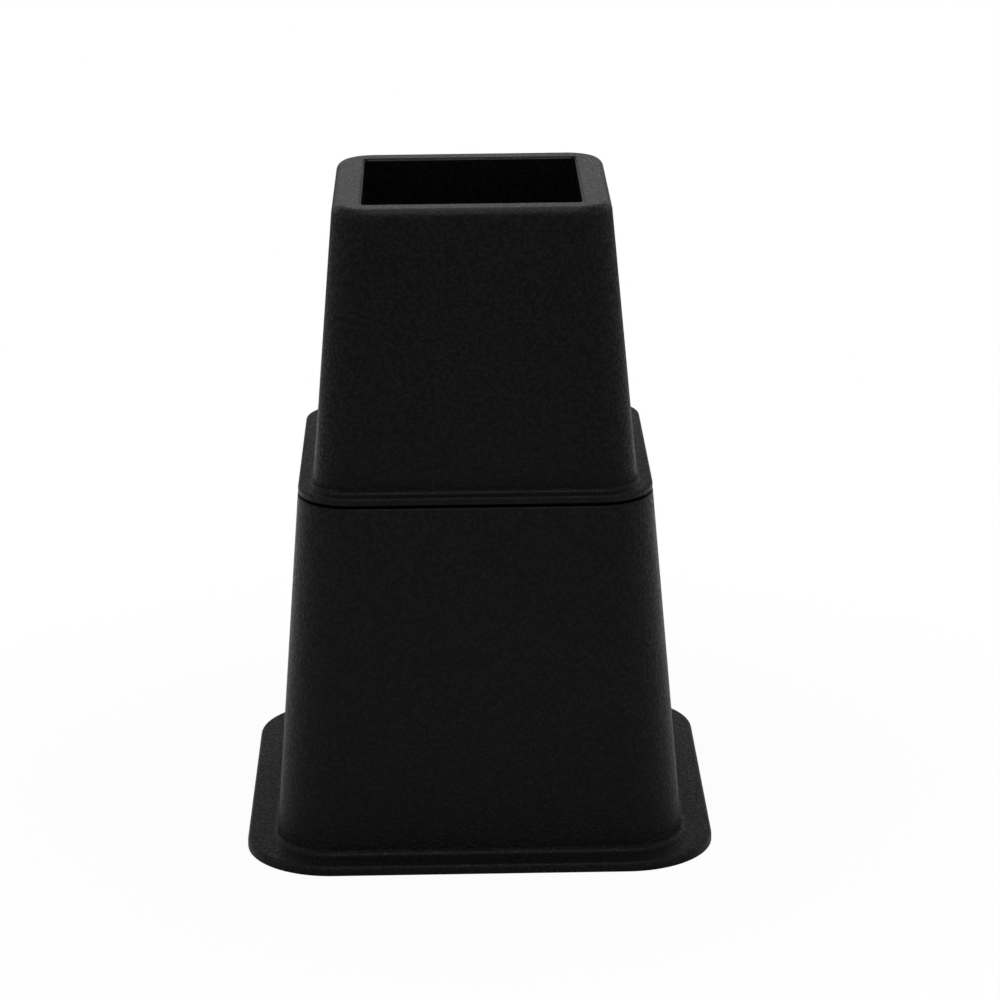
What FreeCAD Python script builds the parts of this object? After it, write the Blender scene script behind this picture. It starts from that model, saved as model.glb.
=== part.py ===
import FreeCAD
import Part
import os

# A two-stage stacking furniture riser: a wide base stage with a narrower upper stage standing on it.
# Each stage is one moulded piece: a hollow, square, tapering tower with a flange round its foot and crossed
# ribs inside. A furniture leg stands in a square recess in the top of the upper stage.
# A collar on the base stage's shoulder reaches up into the hollow foot of the upper stage and centres it.
# When the base stage is used alone, the collar holds the leg, as deep as the recess does.
# Z is up, the floor is at zero and the stack stands on the Z axis. All sizes are in millimetres.

# Heights
base_height = 127.0  # floor to the base stage's shoulder
upper_height = 101.6  # the upper stage, from its foot to its rim

# Leg recess of the upper stage
recess_width = 76.0  # at the mouth
recess_depth = 25.4
recess_draft = 0.7  # how far each side leans in by the floor of the recess
recess_corner = 2.0
mouth_bevel = 0.8

# Walls
wall = 3.2
deck = 3.6  # the top of a stage
cup_wall = 3.0  # round the leg recess
cup_floor = 3.6

# Base stage
shoulder_width = 123.9  # across the flats, at the top
base_flare = 10.2  # how far each side leans out by the floor
base_corner = 20.5
base_flange_reach = 10.4  # beyond the body at floor level
base_flange_thickness = 3.3
base_flange_corner = 31.0
base_flange_round = 1.4
base_root_fillet = 2.2  # where the body meets the top of the flange
shoulder_bevel = 0.3

# Upper stage
rim_width = 9.9  # from the mouth of the recess to the outside
rim_round = 3.6
upper_corner = 13.5
upper_flange_setback = 0.2  # behind the shoulder below, on each side
upper_flange_reach = 4.95  # beyond the body at foot level
upper_flange_thickness = 2.4
upper_flange_corner = 19.5
upper_flange_round = 1.0
upper_root_fillet = 1.6
shadow_gap = 1.3  # under the upper flange, which the foot holds clear of the shoulder

# Collar on the shoulder, as tall as the leg recess is deep
collar_wall = 2.8
collar_bevel = 0.8
stack_clearance = 0.5  # between the collar and the hollow foot around it
rib_clearance = 8.0  # between the top of the collar and the upper stage's ribs

# Crossed ribs
rib_tip = 2.4
rib_root = 3.4

# Sizes that follow from those
stack_height = base_height + upper_height
base_foot_width = shoulder_width + 2 * base_flare
base_flange_width = base_foot_width + 2 * base_flange_reach
upper_flange_width = shoulder_width - 2 * upper_flange_setback
upper_foot_width = upper_flange_width - 2 * upper_flange_reach
upper_rim_width = recess_width + 2 * rim_width
collar_corner = upper_corner - wall - stack_clearance
collar_top = base_height + recess_depth

# How far off an outline an edge may run and still belong to it: a leaning corner is slightly oval
outline_tolerance = 0.3


def rounded_square(width, corner, z):
    """The closed outline of a square with rounded corners, centred on the Z axis at height z."""
    half = width / 2
    flat = half - corner
    bulge = flat + corner / 2**0.5
    edges = []
    for quarter in range(4):
        corner_end = FreeCAD.Vector(flat, half, z)
        arc = Part.Arc(FreeCAD.Vector(half, flat, z), FreeCAD.Vector(bulge, bulge, z), corner_end)
        side = Part.LineSegment(corner_end, FreeCAD.Vector(-flat, half, z))
        for curve in (arc, side):
            edge = curve.toShape()
            edge.rotate(FreeCAD.Vector(), FreeCAD.Vector(0, 0, 1), 90 * quarter)
            edges.append(edge)
    return Part.Wire(edges)


def plate(width, corner, low, thickness):
    """A flat slab with rounded corners."""
    return Part.Face(rounded_square(width, corner, low)).extrude(FreeCAD.Vector(0, 0, thickness))


def tower(low_width, high_width, corner, low, high):
    """A square tower with leaning flat sides and rounded corners, from one width up to another."""
    near = low_width / 2
    far = high_width / 2
    block = Part.makeWedge(-near, low, -near, -far, -far, near, high, near, far, far)
    block.rotate(FreeCAD.Vector(), FreeCAD.Vector(1, 0, 0), 90)
    leaning = [edge for edge in block.Edges if edge.BoundBox.ZLength > (high - low) / 2]
    return block.makeFillet(corner, leaning)


def outline_edges(shape, width, corner, z):
    """The edges of a shape that lie on one rounded square."""
    flat = width / 2 - corner
    found = []
    for edge in shape.Edges:
        first, last = edge.ParameterRange
        misses = []
        for parameter in (first, (first + last) / 2, last):
            point = edge.valueAt(parameter)
            reach = (max(abs(point.x) - flat, 0) ** 2 + max(abs(point.y) - flat, 0) ** 2) ** 0.5
            misses.append(abs(reach - corner) + abs(point.z - z))
        if max(misses) < outline_tolerance:
            found.append(edge)
    return found


def width_at(z, low_width, high_width, low, high):
    """Width of a straight taper at height z."""
    return low_width + (high_width - low_width) * (z - low) / (high - low)


def collar_width_at(z):
    """Width of the collar at height z, where it follows the inside of the upper stage."""
    inside = width_at(z, upper_foot_width, upper_rim_width, base_height, stack_height) - 2 * wall
    return inside - 2 * stack_clearance


def leg_recess():
    """The space for a furniture leg, sunk from the rim, with a bevel round its mouth."""
    floor = stack_height - recess_depth
    pocket = tower(recess_width - 2 * recess_draft, recess_width, recess_corner, floor, stack_height)
    above = plate(recess_width + 4 * mouth_bevel, recess_corner + 2 * mouth_bevel, stack_height, mouth_bevel)
    space = pocket.fuse(above).removeSplitter()
    return space.makeChamfer(mouth_bevel, outline_edges(space, recess_width, recess_corner, stack_height))


def leg_cup():
    """The block round the leg recess, with the thickness of its walls and floor."""
    low = stack_height - recess_depth - cup_floor
    return plate(recess_width + 2 * cup_wall, recess_corner + cup_wall, low, recess_depth + cup_floor)


def ribs(length, low, high):
    """Two ribs that cross on the Z axis, each thicker towards its root at the top."""
    profile = Part.makePolygon([
        FreeCAD.Vector(-rib_tip / 2, -length / 2, low),
        FreeCAD.Vector(rib_tip / 2, -length / 2, low),
        FreeCAD.Vector(rib_root / 2, -length / 2, high),
        FreeCAD.Vector(-rib_root / 2, -length / 2, high),
        FreeCAD.Vector(-rib_tip / 2, -length / 2, low),
    ])
    rib = Part.Face(profile).extrude(FreeCAD.Vector(0, length, 0))
    crossing = rib.copy()
    crossing.rotate(FreeCAD.Vector(), FreeCAD.Vector(0, 0, 1), 90)
    return rib.fuse(crossing)


def hollow(low_width, high_width, corner, low, high):
    """The space inside a stage, under its deck."""
    ceiling = high - deck
    ceiling_width = width_at(ceiling, low_width, high_width, low, high)
    return tower(low_width - 2 * wall, ceiling_width - 2 * wall, corner - wall, low, ceiling)


def flanged_block(low_width, high_width, corner, low, high, flange):
    """The outside of a stage as one block: its tapering body and the flange round its foot."""
    brim = plate(flange["width"], flange["corner"], flange["low"], flange["thickness"])
    block = tower(low_width, high_width, corner, low, high).fuse(brim).removeSplitter()
    brim_top = flange["low"] + flange["thickness"]
    root_width = width_at(brim_top, low_width, high_width, low, high)
    root_edges = outline_edges(block, root_width, corner, brim_top)
    block = block.makeFillet(flange["root_fillet"], root_edges)
    brim_edges = outline_edges(block, flange["width"], flange["corner"], brim_top)
    return block.makeFillet(flange["round"], brim_edges)


def collar():
    """The ring on the shoulder that the hollow foot of the upper stage fits over."""
    low_width = collar_width_at(base_height)
    high_width = collar_width_at(collar_top)
    ring = tower(low_width, high_width, collar_corner, base_height, collar_top)
    ring = ring.makeChamfer(collar_bevel, outline_edges(ring, high_width, collar_corner, collar_top))
    low_inside = low_width - 2 * collar_wall
    high_inside = high_width - 2 * collar_wall
    return ring.cut(tower(low_inside, high_inside, collar_corner - collar_wall, base_height, collar_top))


def base_stage():
    """The wide stage, which stands on the floor."""
    flange = {
        "width": base_flange_width,
        "corner": base_flange_corner,
        "low": 0,
        "thickness": base_flange_thickness,
        "root_fillet": base_root_fillet,
        "round": base_flange_round,
    }
    body = (base_foot_width, shoulder_width, base_corner, 0, base_height)
    block = flanged_block(*body, flange)
    block = block.makeChamfer(shoulder_bevel, outline_edges(block, shoulder_width, base_corner, base_height))
    space = hollow(*body).cut(ribs(base_foot_width, 0, base_height))
    return block.cut(space).fuse(collar()).removeSplitter()


def upper_stage():
    """The narrow stage, whose foot stands on the shoulder of the base stage."""
    flange = {
        "width": upper_flange_width,
        "corner": upper_flange_corner,
        "low": base_height + shadow_gap,
        "thickness": upper_flange_thickness,
        "root_fillet": upper_root_fillet,
        "round": upper_flange_round,
    }
    body = (upper_foot_width, upper_rim_width, upper_corner, base_height, stack_height)
    block = flanged_block(*body, flange)
    block = block.makeFillet(rim_round, outline_edges(block, upper_rim_width, upper_corner, stack_height))
    space = hollow(*body).cut(leg_cup()).cut(ribs(upper_foot_width, collar_top + rib_clearance, stack_height))
    return block.cut(space).cut(leg_recess()).removeSplitter()


def main():
    os.makedirs("parts", exist_ok=True)
    stages = {"base_stage": base_stage(), "upper_stage": upper_stage()}
    for name, shape in stages.items():
        print(name, "solids:", len(shape.Solids), "volume in cm3:", round(shape.Volume / 1000, 1))
        shape.exportStep(f"parts/{name}.step")


main()
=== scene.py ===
import math

import bmesh
import bpy
from mathutils import Matrix, Vector

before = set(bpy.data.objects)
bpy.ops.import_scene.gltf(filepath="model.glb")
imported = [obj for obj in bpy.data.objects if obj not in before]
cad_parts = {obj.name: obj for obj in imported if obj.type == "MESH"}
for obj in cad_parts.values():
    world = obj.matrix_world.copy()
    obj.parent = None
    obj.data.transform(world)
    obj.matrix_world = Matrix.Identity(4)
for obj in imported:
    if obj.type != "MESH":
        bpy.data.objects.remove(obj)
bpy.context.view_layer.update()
scene = bpy.context.scene
scene.view_settings.view_transform = "Standard"
print("frame loaded:", ", ".join(sorted(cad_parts)))


class Wire:  # a node's output, so that sums can be written out as sums
    def __init__(self, finish, socket):
        self.finish = finish
        self.socket = socket

    def reckon(self, operation, first, second):
        return self.finish.node("ShaderNodeMath", {"operation": operation}, {0: first, 1: second})

    def __add__(self, other):
        return self.reckon("ADD", self, other)

    def __radd__(self, other):
        return self.reckon("ADD", other, self)

    def __sub__(self, other):
        return self.reckon("SUBTRACT", self, other)

    def __rsub__(self, other):
        return self.reckon("SUBTRACT", other, self)

    def __mul__(self, other):
        return self.reckon("MULTIPLY", self, other)

    def __rmul__(self, other):
        return self.reckon("MULTIPLY", other, self)


class Finish:  # one node tree, of a material or of the world
    def __init__(self, tree):
        self.tree = tree
        self.tree.nodes.clear()

    def node(self, kind, settings=None, inputs=None, output=0):
        made = self.tree.nodes.new(kind)
        for name, value in (settings or {}).items():
            setattr(made, name, value)
        for name, value in (inputs or {}).items():
            if isinstance(value, Wire):
                self.tree.links.new(value.socket, made.inputs[name])
            else:
                made.inputs[name].default_value = value
        return Wire(self, made.outputs[output]) if len(made.outputs) else None

    def between(self, wire, low, high):  # 0 up to low, 1 from high on
        return self.node("ShaderNodeMapRange", {"interpolation_type": "SMOOTHSTEP"}, {
            "Value": wire, "From Min": low, "From Max": high})

    def along(self, vector, axis):
        return self.node("ShaderNodeSeparateXYZ", inputs={0: vector}, output=axis)

    def blend(self, share, first, second):  # of two colours
        return self.node("ShaderNodeMix", {"data_type": "RGBA"}, {0: share, 6: first, 7: second}, output=2)

    def rays(self, *kinds):  # 1 for rays of these kinds
        found = [self.node("ShaderNodeLightPath", output=f"Is {kind} Ray") for kind in kinds]
        return sum(found[1:], found[0])


def newMaterial(name):
    material = bpy.data.materials.new(name)
    material.use_nodes = True
    return material, Finish(material.node_tree)


# moulded black polypropylene with a fine leathery grain, rougher where things rub on its ledges; its colour
# is painted darker in the grain's pits as painted shade
blackPlastic = {
    "dark": (0.0005, 0.0005, 0.0005, 1),
    "pale": (0.0046, 0.0046, 0.0046, 1),
    "pitShadeInColour": 0.8,  # share of the colour that is painted shade in the grain's pits; the rest of the colour follows the clouds
    "specular": 0.09,
    "roughness": 0.355,
    "grainRoughness": 0.17,
    "cloudRoughness": 0.06,
    "ledgeRoughness": 0.16,
    "recessRoughness": -0.16,  # the leg recess is moulded on a smooth core
    "ledgeFacing": (0.7, 0.95),  # how far up a face looks when it starts to be a ledge, and when it is one
    "ledgeTop": (0.19, 0.2),  # metres; the rim above this height is clean
    "recessSide": (0.0381, 0.0384),  # metres from the middle
    "grainSize": 0.0006,  # metres from bump to bump
    "pebbleSize": 0.0013,
    "cloudSize": 0.03,
    "noiseShare": 0.6,
    "pebbleShare": 0.4,
    "grainEnds": (0.07, 0.25),  # from the pits to the tops
    "grainDepth": 0.00012,
    "bump": 1.0,
}


def makeBlackPlastic(look):
    material, finish = newMaterial("blackMouldedPlastic")
    place = finish.node("ShaderNodeTexCoord", output="Object")
    noise = finish.node("ShaderNodeTexNoise", inputs={
        "Vector": place, "Scale": 1 / look["grainSize"], "Detail": 2.0, "Roughness": 0.55})
    pebbles = finish.node("ShaderNodeTexVoronoi", {"feature": "SMOOTH_F1"}, {
        "Vector": place, "Scale": 1 / look["pebbleSize"], "Smoothness": 0.6})
    cloud = finish.node("ShaderNodeTexNoise", inputs={
        "Vector": place, "Scale": 1 / look["cloudSize"], "Detail": 3.0, "Roughness": 0.5})
    grain = finish.between(noise * look["noiseShare"] - pebbles * look["pebbleShare"], *look["grainEnds"])
    # the colour is painted darker in the grain's pits, as painted shade, and varies at random with the clouds
    pitShadeAndClouds = grain * look["pitShadeInColour"] + cloud * (1 - look["pitShadeInColour"])
    colour = finish.blend(pitShadeAndClouds, look["dark"], look["pale"])

    facing = finish.node("ShaderNodeNewGeometry", output="Normal")
    level = finish.between(finish.along(facing, "Z"), *look["ledgeFacing"])
    high = finish.between(finish.along(place, "Z"), *look["ledgeTop"])
    ledge = level * (1 - high)
    recess = high * (1 - level)
    for axis in "XY":
        reach = finish.node("ShaderNodeMath", {"operation": "ABSOLUTE"}, {0: finish.along(place, axis)})
        recess = recess * (1 - finish.between(reach, *look["recessSide"]))
    roughness = look["roughness"] + ledge * look["ledgeRoughness"] + recess * look["recessRoughness"]
    roughness = roughness + (0.5 - grain) * look["grainRoughness"] + (cloud - 0.5) * look["cloudRoughness"]

    bump = finish.node("ShaderNodeBump", inputs={
        "Strength": look["bump"], "Distance": look["grainDepth"], "Height": grain * (1 - recess)})
    surface = finish.node("ShaderNodeBsdfPrincipled", inputs={
        "Base Color": colour, "Roughness": roughness, "Specular IOR Level": look["specular"], "Normal": bump})
    finish.node("ShaderNodeOutputMaterial", inputs={"Surface": surface})
    return material


plastic = makeBlackPlastic(blackPlastic)
for name in ("base_stage", "upper_stage"):
    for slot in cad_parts[name].material_slots:
        slot.material = plastic
print("plastic on the stages")


# the white floor, plain white to the camera, with a pool of light painted into its colour in a ring round its
# foot, which the plastic mirrors
studioFloor = {
    "radius": 4.0,
    "dull": (0.20, 0.20, 0.20, 1),
    "bright": (0.76, 0.76, 0.76, 1),
    "atFoot": 0.45,  # share of the painted light right at the foot
    "brightFrom": (0.1, 0.32),  # metres from the middle over which the rest comes in
    "brightTo": (0.5, 0.95),  # and over which it goes again
    "nearGlow": 0.95,  # share of the floor under the object that the camera sees as plain white
    "shadowReach": (0.15, 0.7),  # metres from the middle over which that rises to all of it
    "mirroredGlow": 0.05,  # share of plain white in reflections
}


def makeFloor(look):
    mesh = bpy.data.meshes.new("studioFloor")
    build = bmesh.new()
    bmesh.ops.create_circle(build, cap_ends=True, segments=96, radius=look["radius"])
    build.to_mesh(mesh)
    build.free()
    floor = bpy.data.objects.new("studioFloor", mesh)
    scene.collection.objects.link(floor)

    material, finish = newMaterial("whiteFloor")
    place = finish.node("ShaderNodeTexCoord", output="Object")
    away = finish.node("ShaderNodeVectorMath", {"operation": "LENGTH"}, {0: place}, output=1)
    glow = look["nearGlow"] + finish.between(away, *look["shadowReach"]) * (1 - look["nearGlow"])
    seen = finish.rays("Camera") * glow + finish.rays("Glossy", "Transmission") * look["mirroredGlow"]
    # painted light: the floor's colour is brighter in a ring round the foot and duller again further out
    paintedLightRing = look["atFoot"] + finish.between(away, *look["brightFrom"]) * (1 - look["atFoot"])
    paintedLightRing = paintedLightRing * (1 - finish.between(away, *look["brightTo"]))
    paint = finish.node("ShaderNodeBsdfPrincipled", inputs={
        "Base Color": finish.blend(paintedLightRing, look["dull"], look["bright"]),
        "Roughness": 1.0,
        "Specular IOR Level": 0.0,
    })
    white = finish.node("ShaderNodeEmission", inputs={"Color": (1, 1, 1, 1), "Strength": 1.0})
    surface = finish.node("ShaderNodeMixShader", inputs={0: seen, 1: paint, 2: white})
    finish.node("ShaderNodeOutputMaterial", inputs={"Surface": surface})
    mesh.materials.append(material)


# white all round to the camera; the plastic mirrors a bright sweep, with a duller horizon and ceiling
studioWorld = {
    "fill": 0.7,  # what lights the object, next to the white that the camera sees
    "horizon": 0.25,
    "sweep": 1.1,
    "overhead": 0.25,
    "sweepFrom": (1, 9),  # degrees above the horizon
    "sweepTo": (16, 40),
}


def makeWorld(look):
    world = bpy.data.worlds.new("studioWorld")
    world.use_nodes = True
    scene.world = world
    finish = Finish(world.node_tree)
    direction = finish.node("ShaderNodeTexCoord", output="Generated")
    height = finish.along(direction, "Z")
    rising, falling = [
        finish.between(height, *[math.sin(math.radians(angle)) for angle in look[ends]])
        for ends in ("sweepFrom", "sweepTo")]
    mirrored = look["horizon"] + rising * (look["sweep"] - look["horizon"])
    mirrored = mirrored - falling * (look["sweep"] - look["overhead"])
    straight = finish.rays("Camera")
    bounced = finish.rays("Glossy", "Transmission")
    strength = straight + bounced * mirrored + (1 - straight - bounced) * look["fill"]
    light = finish.node("ShaderNodeBackground", inputs={"Color": (1, 1, 1, 1), "Strength": strength})
    finish.node("ShaderNodeOutputWorld", inputs={"Surface": light})


softBoxes = {
    "aim": (0.0, 0.0, 0.1),
    "size": 1.0,
    "topBox": {"place": (0.0, -0.35, 1.5), "power": 11},
    "backBox": {"place": (0.0, 0.55, 1.5), "power": 7},
    "leftBox": {"place": (-1.3, -0.5, 1.0), "power": 3.4},
    "rightBox": {"place": (1.3, -0.5, 1.0), "power": 3.4},
}


def makeSoftBoxes(look):
    for name in ("topBox", "backBox", "leftBox", "rightBox"):
        lamp = bpy.data.lights.new(name, "AREA")
        lamp.shape = "DISK"
        lamp.size = look["size"]
        lamp.energy = look[name]["power"]
        box = bpy.data.objects.new(name, lamp)
        place = Vector(look[name]["place"])
        box.location = place
        box.rotation_euler = (Vector(look["aim"]) - place).to_track_quat("-Z", "Y").to_euler()
        scene.collection.objects.link(box)


makeFloor(studioFloor)
makeWorld(studioWorld)
makeSoftBoxes(softBoxes)
print("studio set")


# the camera stands in front of the object, a little above it and looking down
camera = {
    "place": (-0.0088, -1.2191, 0.4901),
    "pitch": 17.29,  # degrees below the horizon
    "yaw": 0.8435,  # degrees to the right of straight ahead
    "roll": -0.58,
    "lens": 127.22,
    "sensor": 36.0,
}


def makeCamera(look):
    data = bpy.data.cameras.new("camera")
    data.lens = look["lens"]
    data.sensor_width = look["sensor"]
    eye = bpy.data.objects.new("camera", data)
    turn = Matrix.Rotation(-math.radians(look["yaw"]), 4, "Z")
    turn = turn @ Matrix.Rotation(math.radians(90 - look["pitch"]), 4, "X")
    turn = turn @ Matrix.Rotation(math.radians(look["roll"]), 4, "Z")
    eye.matrix_world = Matrix.Translation(look["place"]) @ turn
    scene.collection.objects.link(eye)
    scene.camera = eye


makeCamera(camera)
print("camera set")
